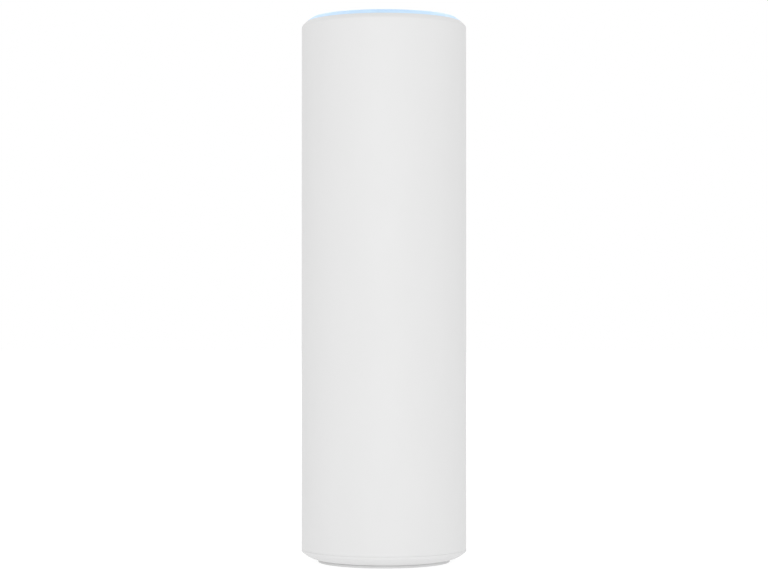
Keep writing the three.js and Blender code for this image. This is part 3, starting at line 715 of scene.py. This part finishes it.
def screw(name, head_r, head_height, shank_r, length):
    """A pan-head screw along +Z, its head's face at the origin with a cross recess in it."""
    pitch, depth = 0.7, 0.22
    point = shank_r * 0.9
    turns = int((length - head_height - point - 0.3) / pitch)
    thread = []
    for i in range(turns):
        z = head_height + 0.3 + i * pitch
        thread += [(shank_r - depth, z), (shank_r, z + pitch * 0.4), (shank_r, z + pitch * 0.5)]
    outline = [
        (0, 0),
        *arc((head_r * 0.5, 0), (head_r, head_height * 0.6), 60, 6),
        (head_r, head_height - 0.05),
        (head_r - 0.05, head_height),
        (shank_r, head_height),
        *thread,
        (shank_r - depth, length - point),
        (shank_r * 0.4, length),
        (0, length),
    ]
    made = turned(name, outline, 32, closed=False)
    reach, half, deep = head_r * 0.5, head_r * 0.13, head_height * 0.55
    recess = [
        block("slot", (-reach, -half, -1), (reach, half, deep)),
        block("slot", (-half, -reach, -1), (half, reach, deep)),
    ]
    return carved(made, recess)


def make_screws():
    """Up through the cover, into the board from the front, and into the heat sink from behind."""
    for nodes, axis, turn, sizes in (
        (COVER_SCREWS, 2, Matrix.Identity(4), (2.8, 1.3, 1.2)),
        (BOARD_SCREWS, 1, TO_BACK, (2.6, 1.3, 1.2)),
        (SINK_SCREWS, 1, TO_FRONT, (1.9, 1.1, 0.9)),
    ):
        for node in nodes:
            (low, high), at = span(node), middle(node)
            made = screw(f"{node}_pan_head", *sizes, high[axis] - low[axis])
            at[axis] = high[axis] if turn is TO_FRONT else low[axis]
            placed(made, turn, Matrix.Translation(at))
            finished(made, SCREW_STEEL, "screw_steel", node)


# Light ring's electronics

def make_tray():
    low, high = span("ring_tray")
    floor_z = low.z + 1.2
    outline = [
        (29.3, low.z),
        (high.x, low.z),
        (high.x, high.z),
        (34.5, high.z),
        (34.5, floor_z),
        (29.9, floor_z),
        (29.9, 245.5),
        (29.3, 245.5),
    ]
    tray = turned("tray", softened(outline, 0.2))
    carved(tray, [block("notch", (-5, -33, low.z - 1), (5, -28.5, 246))])
    finished(tray, INNER_WHITE, "white_inner", "ring_tray")


def make_led_board():
    low, high = span("led_board")
    inner_r = 31.1
    outline = [(inner_r, low.z), (high.x, low.z), (high.x, high.z), (inner_r, high.z)]
    board = turned("ring_board", softened(outline, 0.08, steps=2))
    finished(board, SOLDER_MASK, "circuit_board", "led_board")
    outwards = Matrix.Translation(((inner_r + high.x) / 2, 0, high.z + 0.02))
    turns = [Matrix.Rotation(math.radians(360 / len(LEDS) * i), 4, "Z") for i in range(len(LEDS))]
    make_passives("ring", [turn @ outwards for turn in turns], "led_board")


def make_passives(name, places, node):
    """Small chip resistors: dark bodies with tinned ends, one at each place, standing on its XY plane."""
    bodies, ends = [], []
    for place in places:
        bodies.append(placed(block("body", (-0.5, -0.62, 0), (0.5, 0.62, 0.44), 0.05, 1), place))
        for side in (-1, 1):
            y = sorted((side * 0.63, side * 0.95))
            ends.append(placed(block("end", (-0.52, y[0], 0), (0.52, y[1], 0.46), 0.06, 1), place))
    finished(merged(f"{name}_resistors", bodies), DARK_PLASTIC, "dark_plastic", node)
    finished(merged(f"{name}_resistor_ends", ends), TINNED_STEEL, "shield_steel", node)


def make_leds():
    for node in LEDS:
        at = middle(node)
        place = Matrix.Translation(at) @ Matrix.Rotation(math.atan2(at.y, at.x), 4, "Z")
        package = block(f"{node}_package", (-1.4, -1.75, -0.45), (1.4, 1.75, 0.45), 0.12)
        carved(package, [bar("well", 1.1, 0.1, 1)])
        finished(placed(package, place), INNER_WHITE, "led_package", node)
        dome = [(0, 0.12), (1.07, 0.12), (1.07, 0.36), *arc((0.95, 0.42), (0, 0.47), 6, 4)[:-1]]
        dome.append((0, 0.47))
        gel = turned(f"{node}_phosphor", dome, SMALL_SEGMENTS, closed=False)
        finished(placed(gel, place), PHOSPHOR, "led_package", node)


def make_flex_cable():
    route = [
        (-32.4, 240.6),
        (-28, 240),
        (-22, 236),
        (-12, 226),
        (-5.5, 217),
        (-3, 209),
        (0, 202),
        (2.4, 195.9),
    ]
    centre = [p.to_2d() for p in smooth([(*p, 0) for p in route])]
    sides = ([], [])
    for i, here in enumerate(centre):
        along = (centre[min(i + 1, len(centre) - 1)] - centre[max(i - 1, 0)]).normalized()
        across = Vector((-along.y, along.x)) * 0.1
        sides[0].append(tuple(here + across))
        sides[1].append(tuple(here - across))
    ribbon = plate("flex_cable", [*sides[0], *reversed(sides[1])], (-4, 4), bevel=0.04)
    finished(placed(ribbon, TO_SIDE), FLEX_AMBER, "flex_film", "led_flex_cable")


def make_flex_connector():
    low, high = span("flex_connector")
    body = block("flex_socket", low, high, 0.2)
    carved(body, [block("slot", (-4.4, 2, 193), (4.4, 2.8, 196))])
    finished(body, INNER_WHITE, "dark_plastic", "flex_connector")
    latch_low = (-4.9, low.y - 0.25, high.z - 1.3)
    latch = block("flex_latch", latch_low, (4.9, low.y + 0.4, high.z + 0.2), 0.15)
    finished(latch, DARK_PLASTIC, "dark_plastic", "flex_connector")


# Frame and boards

def top_passages(heights):
    """Cutters for the flex cable and the pigtails, through the frame's top and the carrier."""
    x, y = COAX_HOLE
    corners = [(sx * x, sy * y) for sx in (-1, 1) for sy in (-1, 1)]
    cutters = [bar("passage", 2.5, *heights, corner) for corner in corners]
    return [block("passage", (-5.5, -8, heights[0]), (5.5, 2.5, heights[1])), *cutters]


def cross_bar(name, radius, near_y, far_y, x, z):
    """A round bar along Y."""
    return placed(bar(name, radius, near_y, far_y), TO_BACK, Matrix.Translation((x, 0, z)))


def screw_holes(nodes, radius, near_y, far_y):
    """Cutters for screws along Y."""
    return [cross_bar("hole", radius, near_y, far_y, middle(n).x, middle(n).z) for n in nodes]


def make_chassis():
    low, high = span("chassis")
    floor_top, top_under = low.z + 2.2, high.z - 2.4
    frame_body = bar("frame", FRAME_R, low.z, floor_top, bevel=0.4, segments=WIDE_SEGMENTS)
    adds = [bar("top", FRAME_R, top_under, high.z, bevel=0.4, segments=WIDE_SEGMENTS)]
    rear_y = BOARD_HIGH.y + GAP
    rail_y = (1, 9.7)
    sunk = 0.3  # how far rails and bosses run into the floor and the top
    for side in (-1, 1):
        x = sorted((side * 28.8, side * 33))
        foot = (x[0], rail_y[0], floor_top - sunk)
        adds.append(block("rail", foot, (x[1], rail_y[1], top_under + sunk), 0.5))
    for node in BOARD_SCREWS:
        at = middle(node)
        x = sorted((at.x, math.copysign(29, at.x)))
        adds.append(cross_bar("boss", 2.6, rear_y, rail_y[1], at.x, at.z))
        adds.append(block("web", (x[0], rear_y, at.z - 2), (x[1], rail_y[1] - 0.1, at.z + 2)))
    for node in COVER_SCREWS:
        adds.append(bar("boss", 3, floor_top - sunk, 57, middle(node).to_2d(), bevel=0.3))
    carved(frame_body, adds, "UNION")
    floor = (low.z - 1, floor_top + 1)
    through_top = (top_under - 1, high.z + 1)
    cuts = [
        jack_hole(floor),
        bar("reset_hole", 1.8, *floor, middle("reset_key").to_2d()),
        *top_passages(through_top),
        *[bar("peg_hole", 1.8, *through_top, polar(*peg)) for peg in PEGS],
        *screw_holes(BOARD_SCREWS, 1.3, rear_y - 1, rail_y[1] + 1),
        *screw_holes(SINK_SCREWS, 1.1, -1, rail_y[1] + 1),
        *[bar("hole", 1.3, low.z - 1, 58, middle(n).to_2d()) for n in COVER_SCREWS],
    ]
    carved(frame_body, [merged("cuts", cuts)])
    finished(frame_body, FRAME_GREY, "frame_plastic", "chassis")


def make_main_board():
    low, high = BOARD_LOW, BOARD_HIGH
    corners = [(low.x, low.z), (high.x, low.z), (high.x, high.z), (low.x, high.z)]
    board = placed(plate("board", softened(corners, 1.5, steps=6), (-high.y, -low.y), bevel=0.1), TO_FRONT)
    carved(board, [merged("holes", screw_holes(BOARD_SCREWS, 1.5, low.y - 1, high.y + 1))])
    finished(board, SOLDER_MASK, "circuit_board", "main_board")
    front = [(x, z) for x in (-23.5, 23.5) for z in range(104, 142, 3)]
    front += [(x, z) for x in range(-18, 20, 4) for z in (98, 143)]
    rear = [(x, z) for x in (-22, 22) for z in range(84, 172, 4)]
    rear += [(x, z) for x in range(-16, 18, 4) for z in (123, 129, 176)]
    places = [Matrix.Translation((x, low.y - 0.02, z)) @ TO_FRONT for x, z in front]
    places += [Matrix.Translation((x, high.y + 0.02, z)) @ TO_BACK for x, z in rear]
    make_passives("board", places, "main_board")
    make_chips()


def make_chips():
    """Flat packages with a row of short leads along two sides, on the board's front."""
    bodies, leads = [], []
    face = BOARD_LOW.y
    pitch = 0.8
    for x, z, half_x, half_z in ((15.5, 158, 4, 5), (15.5, 174, 4, 4), (-12, 68, 3.5, 3)):
        low = (x - half_x, face - 1.5, z - half_z)
        bodies.append(block("chip", low, (x + half_x, face - 0.12, z + half_z), 0.15))
        for i in range(int(half_z * 2 / pitch)):
            at_z = z - half_z + 0.5 + i * pitch
            for side in (-1, 1):
                lead_x = sorted((x + side * half_x, x + side * (half_x + 0.9)))
                low = (lead_x[0], face - 0.2, at_z - 0.15)
                leads.append(block("lead", low, (lead_x[1], face - 0.02, at_z + 0.15)))
    finished(merged("chips", bodies), DARK_PLASTIC, "dark_plastic", "main_board")
    finished(merged("chip_leads", leads), TINNED_STEEL, "shield_steel", "main_board")


def make_shield_cans():
    step = 0.4  # height of the pressed-up middle
    inset = Vector((2, 0, 2))
    for node in ("radio_shield_front", "memory_shield_front", "processor_shield_rear", "radio_shield_rear"):
        low, high = span(node)
        at = middle(node)
        lid = -1 if at.y < BOARD_LOW.y else 1
        rim_y = (low.y + step, high.y) if lid < 0 else (low.y, high.y - step)
        can = block(f"{node}_can", (low.x, rim_y[0], low.z), (high.x, rim_y[1], high.z), 0.6)
        carved(can, [block("lid", low + inset, high - inset, 0.35)], "UNION")
        face = low.y if lid < 0 else high.y
        ends = sorted((face + lid, face - lid * 0.9))
        vents = [
            cross_bar("vent", 0.5, *ends, at.x + 5 * i, at.z + 5 * j)
            for i in range(-1, 2)
            for j in range(-2, 3)
        ]
        foot = high.y if lid < 0 else low.y
        notch_y = sorted((foot - lid, foot + lid * 0.9))
        notches = [
            block("notch", (x - 1, notch_y[0], z - 0.5), (x + 1, notch_y[1], z + 0.5))
            for x in (at.x - 8, at.x + 8)
            for z in (low.z, high.z)
        ]
        carved(can, [merged("cutters", [*vents, *notches])])
        finished(can, TINNED_STEEL, "shield_steel", node)


def make_thermal_pads():
    for node in numbered("thermal_pad", 2):
        finished(block(f"{node}_slab", *span(node), 0.35), PAD_SILICONE, "pad_silicone", node)


def make_transformer():
    """Two ferrite halves with a taped winding in the window between them."""
    low, high = span("power_transformer")
    bobbin = Vector((2.5, 0, 0))  # how far the winding sticks out at each side
    parting = Vector((0, 0, (high.z - low.z) / 2 + 0.05))
    halves = [
        block("core", low + bobbin, high - bobbin - parting, 0.4),
        block("core", low + bobbin + parting, high - bobbin, 0.4),
    ]
    core = merged("core", halves)
    window_low = Vector((low.x, low.y + 3, low.z + 3))
    window_high = Vector((high.x, low.y + 8.5, high.z - 3))
    air = Vector((1, 0.05, 0.05))
    carved(core, [block("window", window_low - air, window_high + air)])
    finished(core, FERRITE, "ferrite", "power_transformer")
    margin = Vector((0.6, 0, 0))
    winding = block("winding", window_low + margin, window_high - margin, 1.2, 5)
    finished(winding, WINDING_TAPE, "ferrite", "power_transformer")


def make_capacitors():
    for node in numbered("capacitor", 2):
        (low, high), at = span(node), middle(node)
        length = high.y - low.y
        radius = (high.z - low.z) / 2
        sleeve = [
            (0, 0),
            (radius - 0.3, 0),
            (radius, 0.4),
            (radius, 2),
            (radius - 0.5, 2.6),
            (radius, 3.2),
            (radius, length - 0.6),
            (radius - 0.5, length - 0.1),
            (radius - 1.1, length - 0.05),
            (radius - 1.1, length - 0.45),
            (0, length - 0.45),
        ]
        place = (TO_FRONT, Matrix.Translation((at.x, high.y, at.z)))
        soft = softened(sleeve, 0.2, closed=False)
        body = turned(f"{node}_sleeve", soft, SMALL_SEGMENTS, closed=False)
        finished(placed(body, *place), DARK_PLASTIC, "dark_plastic", node)
        top = bar(f"{node}_top", radius - 1.15, length - 0.43, length - 0.05, bevel=0.12)
        arms = [
            block("vent", (-2.6, -0.12, length - 0.2), (2.6, 0.12, length + 1)),
            block("vent", (-0.12, -2.6, length - 0.2), (0.12, 2.6, length + 1)),
        ]
        finished(placed(carved(top, arms), *place), SINK_ALUMINIUM, "sink_aluminium", node)


def make_heat_sink():
    low, high = span("heat_sink")
    root, half, reach = low.y + 2, 0.8, 33.5
    comb = []
    for x in range(24, -25, -6):
        tip = math.sqrt(reach**2 - (abs(x) + half) ** 2)
        comb += [(x + half, root), (x + half, tip), (x - half, tip), (x - half, root)]
    outline = [(low.x, low.y), (high.x, low.y), (high.x, root), *comb, (low.x, root)]
    sink = plate("sink", softened(outline, 0.5, steps=4, least_turn=40), (low.z, high.z))
    carved(sink, [merged("holes", screw_holes(SINK_SCREWS, 1.2, low.y - 1, root + 1))])
    finished(sink, SINK_ALUMINIUM, "sink_aluminium", "heat_sink")


# Ethernet jack

def make_jack():
    """A black socket block inside a folded sheet-metal shield, with spring fingers at its mouth."""
    low, high = JACK_LOW, JACK_HIGH
    wall = Vector((0.25, 0.25, 0.25))
    socket = Vector((5.9, -7.6, -0.6))  # half width, front and back
    mouth_z = low.z - 1
    inset = wall * 1.1
    housing = block("jack_housing", low + inset, high - inset, 0.2)
    cuts = [
        block("socket", (-socket.x, socket.y, mouth_z), (socket.x, socket.z, 60)),
        block("latch_notch", (-3.1, socket.y - 1.5, mouth_z), (3.1, socket.y + 0.1, 56)),
    ]
    carved(housing, cuts)
    finished(housing, DARK_PLASTIC, "dark_plastic", "ethernet_jack")
    shield = block("jack_shield", low, high, 0.5)
    hollow = block("hollow", low + wall, high - wall)
    window_low = (-socket.x - 0.1, socket.y - 1.7, mouth_z)
    window = block("window", window_low, (socket.x + 0.1, socket.z + 0.1, low.z + 1))
    side_windows = [
        block("side_window", (x - 1, -4, 58), (x + 1, -1, 60.5))
        for x in (low.x, high.x)
    ]
    carved(shield, [hollow])
    carved(shield, [merged("windows", [window, *side_windows])])
    finished(shield, TINNED_STEEL, "shield_steel", "ethernet_jack")
    fingers = []
    for side in (-1, 1):
        bow = arc((socket.x - 0.02, low.z + 0.3), (socket.x - 0.02, low.z + 7), -32, 10)
        inner = [(x - 0.18, z) for x, z in bow]
        outline = [(side * x, z) for x, z in [*bow, *reversed(inner)]]
        for y in (-6.6, -3.2):
            fingers.append(placed(plate("finger", outline, (-y - 1.8, -y), 0.03), TO_FRONT))
    finished(merged("jack_fingers", fingers), TINNED_STEEL, "shield_steel", "ethernet_jack")


def make_jack_inside():
    low, high = span("jack_insert")
    comb = block("jack_comb", low, high, 0.15)
    spots = [1.02 * (i - 3.5) for i in range(8)]
    slots = [
        block("slot", (x - 0.3, high.y - 1.4, low.z - 1), (x + 0.3, high.y + 1, low.z + 1))
        for x in spots
    ]
    carved(comb, [merged("slots", slots)])
    finished(comb, DARK_PLASTIC, "dark_plastic", "jack_insert")
    low, high = span("jack_contacts")
    springs = []
    for x in spots:
        route = [
            (x, high.y - 0.1, high.z),
            (x, high.y - 0.1, low.z + 1.2),
            (x, high.y - 0.35, low.z + 0.4),
            (x, high.y - 0.9, low.z + 0.6),
            (x, high.y - 1.5, low.z + 2.4),
            (x, high.y - 2.9, high.z - 0.4),
        ]
        springs.append(wire("spring", route, 0.18))
    finished(merged("jack_springs", springs), GOLD_PLATE, "gold_contact", "jack_contacts")


# Reset button

def make_reset_button():
    (low, high), at = span("reset_key"), middle("reset_key")
    stem_r, flange_z = 1.5, high.z - 1
    tip = arc((0, low.z), (stem_r, low.z + 0.7), 50, 8)
    flange = [(stem_r, flange_z), (2.5, flange_z), (2.5, high.z), (0, high.z)]
    flange = softened(flange, 0.2, closed=False)
    key = turned("reset_tip", [*tip, *flange], SMALL_SEGMENTS, closed=False, centre=(at.x, at.y))
    finished(key, GREY_RUBBER, "grey_rubber", "reset_key", body="reset_button")
    low, high = span("reset_plunger")
    plunger = bar("plunger", 1, low.z, high.z, (at.x, at.y), bevel=0.2)
    finished(plunger, DARK_PLASTIC, "dark_plastic", "reset_plunger", body="reset_button")
    low, high = span("reset_switch")
    body = block("switch_body", (low.x, low.y, low.z + 0.35), high, 0.25)
    carved(body, [bar("bore", 1.3, low.z - 1, 57, (at.x, at.y))])
    finished(body, DARK_PLASTIC, "dark_plastic", "reset_switch")
    lid_high = (high.x - 0.1, high.y - 0.2, low.z + 0.3)
    lid = block("switch_lid", (low.x + 0.1, low.y + 0.1, low.z), lid_high, 0.1)
    carved(lid, [bar("bore", 1.3, low.z - 1, low.z + 1, (at.x, at.y))])
    finished(lid, TINNED_STEEL, "shield_steel", "reset_switch")


# Antennas

def make_carrier():
    low, high = span("antenna_carrier")
    top, under = CARRIER_TOP, CARRIER_TOP - 2
    disc = bar("carrier", high.x, under, top, bevel=0.3, segments=WIDE_SEGMENTS)
    adds = [bar("peg", 1.5, low.z, under + OVERLAP, polar(*peg), bevel=0.3) for peg in PEGS]
    cuts = top_passages((under - 1, top + 1))
    for angle in ANTENNA_ANGLES:
        turn = Matrix.Rotation(math.radians(angle), 4, "Z")
        for side in (-1, 1):
            y = sorted((side * 5.2, side * 8.4))
            post = block("post", (ANTENNA_R - 1.7, y[0], top - 0.2), (ANTENNA_R + 1.7, y[1], 218), 0.3)
            adds.append(placed(post, turn))
        slot = block("slot", (ANTENNA_R - 0.7, -9, top + 0.01), (ANTENNA_R + 0.7, 9, 219))
        cuts.append(placed(slot, turn))
    carved(disc, [merged("adds", adds)], "UNION")
    carved(disc, [merged("cuts", cuts)])
    finished(disc, INNER_WHITE, "white_inner", "antenna_carrier")


def make_antennas():
    low, _ = span("antenna_1")
    z = low.z
    outline = [
        (-8, z),
        (8, z),
        (8, z + 8),
        (4, z + 8),
        (4, z + 13),
        (8, z + 13),
        (8, z + 24),
        (-8, z + 24),
        (-8, z + 20),
        (4, z + 20),
        (4, z + 17),
        (-8, z + 17),
    ]
    faces = (ANTENNA_R - 0.25, ANTENNA_R + 0.25)
    for node, angle in zip(numbered("antenna", 4), ANTENNA_ANGLES):
        leaf = plate(f"{node}_radiator", softened(outline, 0.4), faces, bevel=0.06)
        placed(leaf, TO_SIDE, Matrix.Rotation(math.radians(angle), 4, "Z"))
        finished(leaf, GOLD_PLATE, "gold_contact", node)


def make_pigtails():
    top_low, top_high = span("chassis")[1].z - 2.4, CARRIER_TOP
    plug_x = 16
    for node, angle in zip(numbered("coax_pigtail", 4), ANTENNA_ANGLES):
        sx, sy = (math.copysign(1, side) for side in polar(1, angle))
        near_y = BOARD_LOW.y - GAP if sy < 0 else BOARD_HIGH.y + GAP
        end_x, end_y = polar(ANTENNA_R - 0.7, angle)
        route = [
            (sx * plug_x, near_y + sy * 0.65, 199.3),
            (sx * plug_x, near_y + sy * 0.85, 200.5),
            (sx * COAX_HOLE[0], sy * COAX_HOLE[1], top_low - 0.5),
            (sx * COAX_HOLE[0], sy * (COAX_HOLE[1] + 0.3), top_high + 0.5),
            (end_x * 0.86, end_y * 0.8, top_high + 3.2),
            (end_x, end_y, top_high + 4.5),
        ]
        finished(wire(f"{node}_jacket", route, 0.55), COAX_JACKET, "coax_jacket", node)
        outline = [(0, 0), (1.4, 0), (1.4, 0.5), (1.2, 0.7), (1.4, 0.9), (1.4, 1.3), (0, 1.3)]
        plug = turned(f"{node}_plug", softened(outline, 0.12, closed=False), SMALL_SEGMENTS, closed=False)
        placed(plug, TO_FRONT if sy < 0 else TO_BACK, Matrix.Translation((sx * plug_x, near_y, 198)))
        finished(plug, GOLD_PLATE, "gold_contact", node)


make_shell()
make_light_ring()
make_cap()
make_cover()
make_seal()
make_stand()
make_foot()
make_screws()
make_tray()
make_led_board()
make_leds()
make_flex_cable()
make_flex_connector()
make_chassis()
make_main_board()
make_shield_cans()
make_thermal_pads()
make_transformer()
make_capacitors()
make_heat_sink()
make_jack()
make_jack_inside()
make_reset_button()
make_carrier()
make_antennas()
make_pigtails()


# ---- Studio ------------------------------------------------------------------------------------

FLOOR_DROP = 0.02 * MM  # keeps the floor's face just clear of the foot


def studio():
    """White room, dimmer overhead, with a pale floor and soft lights in front and high behind."""
    scene = bpy.context.scene
    scene.view_settings.view_transform = "Standard"
    world = bpy.data.worlds.new("studio")
    scene.world = world
    world.use_nodes = True
    tree = world.node_tree
    background = tree.nodes["Background"]
    where = tree.nodes.new("ShaderNodeTexCoord")
    split = tree.nodes.new("ShaderNodeSeparateXYZ")
    tree.links.new(where.outputs["Generated"], split.inputs["Vector"])
    ramp = tree.nodes.new("ShaderNodeMapRange")
    for key, value in {"From Min": 0.2, "From Max": 0.75, "To Min": 1.0, "To Max": 0.86}.items():
        ramp.inputs[key].default_value = value
    tree.links.new(split.outputs["Z"], ramp.inputs["Value"])
    tree.links.new(ramp.outputs["Result"], background.inputs["Strength"])
    background.inputs["Color"].default_value = (1, 1, 1, 1)

    floor = block("floor", (-6, -6, -0.02), (6, 6, FLOOR_Z * MM - FLOOR_DROP))
    floor.data.materials.append(floor_white())

    softbox("front_softbox", (0, -2.6, 0.4), 20.8)
    softbox("high_softbox", (0, 2.4, 2.2), 22)


def softbox(name, place, energy):
    """A square soft light turned towards the middle of the object."""
    light = bpy.data.lights.new(name, "AREA")
    light.shape = "RECTANGLE"
    light.size, light.size_y = 1.6, 1.6
    light.energy = energy
    lamp = bpy.data.objects.new(name, light)
    lamp.location = place
    lamp.rotation_euler = (Vector((0, 0, 0.125)) - lamp.location).to_track_quat("-Z", "Y").to_euler()
    bpy.context.scene.collection.objects.link(lamp)


CAMERA_DISTANCE = 1.04035
CAMERA_HEIGHT = 0.11384
CAMERA_PITCH = math.radians(0.664513)  # upwards from level
SENSOR_WIDTH = 36
LENS = 105.4828  # focal length, in millimetres like the sensor


def place_camera():
    lens = bpy.data.cameras.new("camera")
    lens.sensor_width = SENSOR_WIDTH
    lens.lens = LENS
    lens.clip_end = 50
    camera = bpy.data.objects.new("camera", lens)
    camera.location = (0, -CAMERA_DISTANCE, CAMERA_HEIGHT)
    camera.rotation_euler = (math.pi / 2 + CAMERA_PITCH, 0, 0)
    bpy.context.scene.collection.objects.link(camera)
    bpy.context.scene.camera = camera


studio()
place_camera()

bpy.context.view_layer.update()
